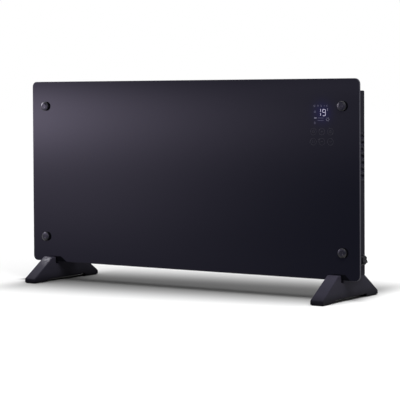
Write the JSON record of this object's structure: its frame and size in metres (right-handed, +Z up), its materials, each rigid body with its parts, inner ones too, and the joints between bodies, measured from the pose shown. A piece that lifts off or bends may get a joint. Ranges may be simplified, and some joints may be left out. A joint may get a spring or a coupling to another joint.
{
  "type": "panel heater",
  "caption": "Free-standing convector panel heater with a black glass front on corner knobs, a slim steel casing, touch display, side louvres, rocker switch and sloped moulded feet.",
  "frame": {"origin": "on the floor under the middle of the two feet", "axes": "+Z up, glass front faces -Y, switch end at +X"},
  "size_m": [0.9, 0.243, 0.478],
  "materials": {
    "black_glass": "toughened glass, back-painted black, high gloss",
    "painted_steel": "fine-textured satin black powder coat",
    "end_cap_plastic": "fine-grained black moulding",
    "black_plastic": "satin black moulding",
    "foot_plastic": "satin black moulding with a fine grain",
    "switch_plastic": "semi-gloss black",
    "knob_metal": "satin black turned cap",
    "rubber": "matt black rubber",
    "zinc_steel": "zinc-plated",
    "aluminium_sheet": "mill finish sheet",
    "aluminium_fins": "extruded, slit fins",
    "ceramic_white": "unglazed steatite",
    "circuit_board": "green solder mask",
    "brass_weight": "turned brass",
    "lead_insulation": "silicone insulation",
    "display_light": "lit display segments seen through the glass",
    "screen_print": "dark grey print on glass"
  },
  "bodies": {
    "heater_body": {"bulkhead": "zinc_steel", "ceramic_left_lower": "ceramic_white", "ceramic_left_upper": "ceramic_white", "ceramic_right_lower": "ceramic_white", "ceramic_right_upper": "ceramic_white", "control_board": "circuit_board", "cord_gland": "black_plastic", "display_board": "circuit_board", "display_frame": "black_plastic", "element_bracket": "zinc_steel", "element_fins_lower": "aluminium_fins", "element_fins_upper": "aluminium_fins", "element_rod_lower": "zinc_steel", "element_rod_upper": "zinc_steel", "foot_left": "foot_plastic", "foot_pad_left_front": "rubber", "foot_pad_left_rear": "rubber", "foot_pad_right_front": "rubber", "foot_pad_right_rear": "rubber", "foot_right": "foot_plastic", "foot_screw_left_front": "zinc_steel", "foot_screw_left_rear": "zinc_steel", "foot_screw_right_front": "zinc_steel", "foot_screw_right_rear": "zinc_steel", "front_plate": "painted_steel", "gland_nut": "black_plastic", "glass_grommet_bottom_left": "rubber", "glass_grommet_bottom_right": "rubber", "glass_grommet_top_left": "rubber", "glass_grommet_top_right": "rubber", "glass_knob_bottom_left": "knob_metal", "glass_knob_bottom_right": "knob_metal", "glass_knob_top_left": "knob_metal", "glass_knob_top_right": "knob_metal", "glass_panel": "black_glass", "glass_standoff_bottom_left": "zinc_steel", "glass_standoff_bottom_right": "zinc_steel", "glass_standoff_top_left": "zinc_steel", "glass_standoff_top_right": "zinc_steel", "heat_shield": "aluminium_sheet", "lead_cutout": "lead_insulation", "lead_element_lower": "lead_insulation", "lead_element_upper": "lead_insulation", "lead_live": "lead_insulation", "lead_neutral": "lead_insulation", "lead_switched": "lead_insulation", "left_end_cap": "end_cap_plastic", "outlet_grille_left": "black_plastic", "outlet_grille_right": "black_plastic", "rear_cover": "painted_steel", "ribbon_cable": "lead_insulation", "right_end_cap": "end_cap_plastic", "rocker_housing": "switch_plastic", "room_sensor": "black_plastic", "terminal_block": "ceramic_white", "thermal_cutout": "zinc_steel", "tip_switch_body": "black_plastic"},
    "switch_rocker": {"rocker_paddle": "switch_plastic"},
    "tip_pendulum": {"tip_switch_pendulum": "brass_weight"}
  },
  "joints": [
    {"name": "mains_rocker", "type": "hinge", "parent": "heater_body", "child": "switch_rocker", "pos_m": [0.4225, 0.0233, 0.085], "axis": [0, 1, 0], "range_deg": [0, 24]},
    {"name": "tip_swing", "type": "hinge", "parent": "heater_body", "child": "tip_pendulum", "pos_m": [0.3105, 0.008, 0.38], "axis": [1, 0, 0], "range_deg": [-30, 30]}
  ]
}
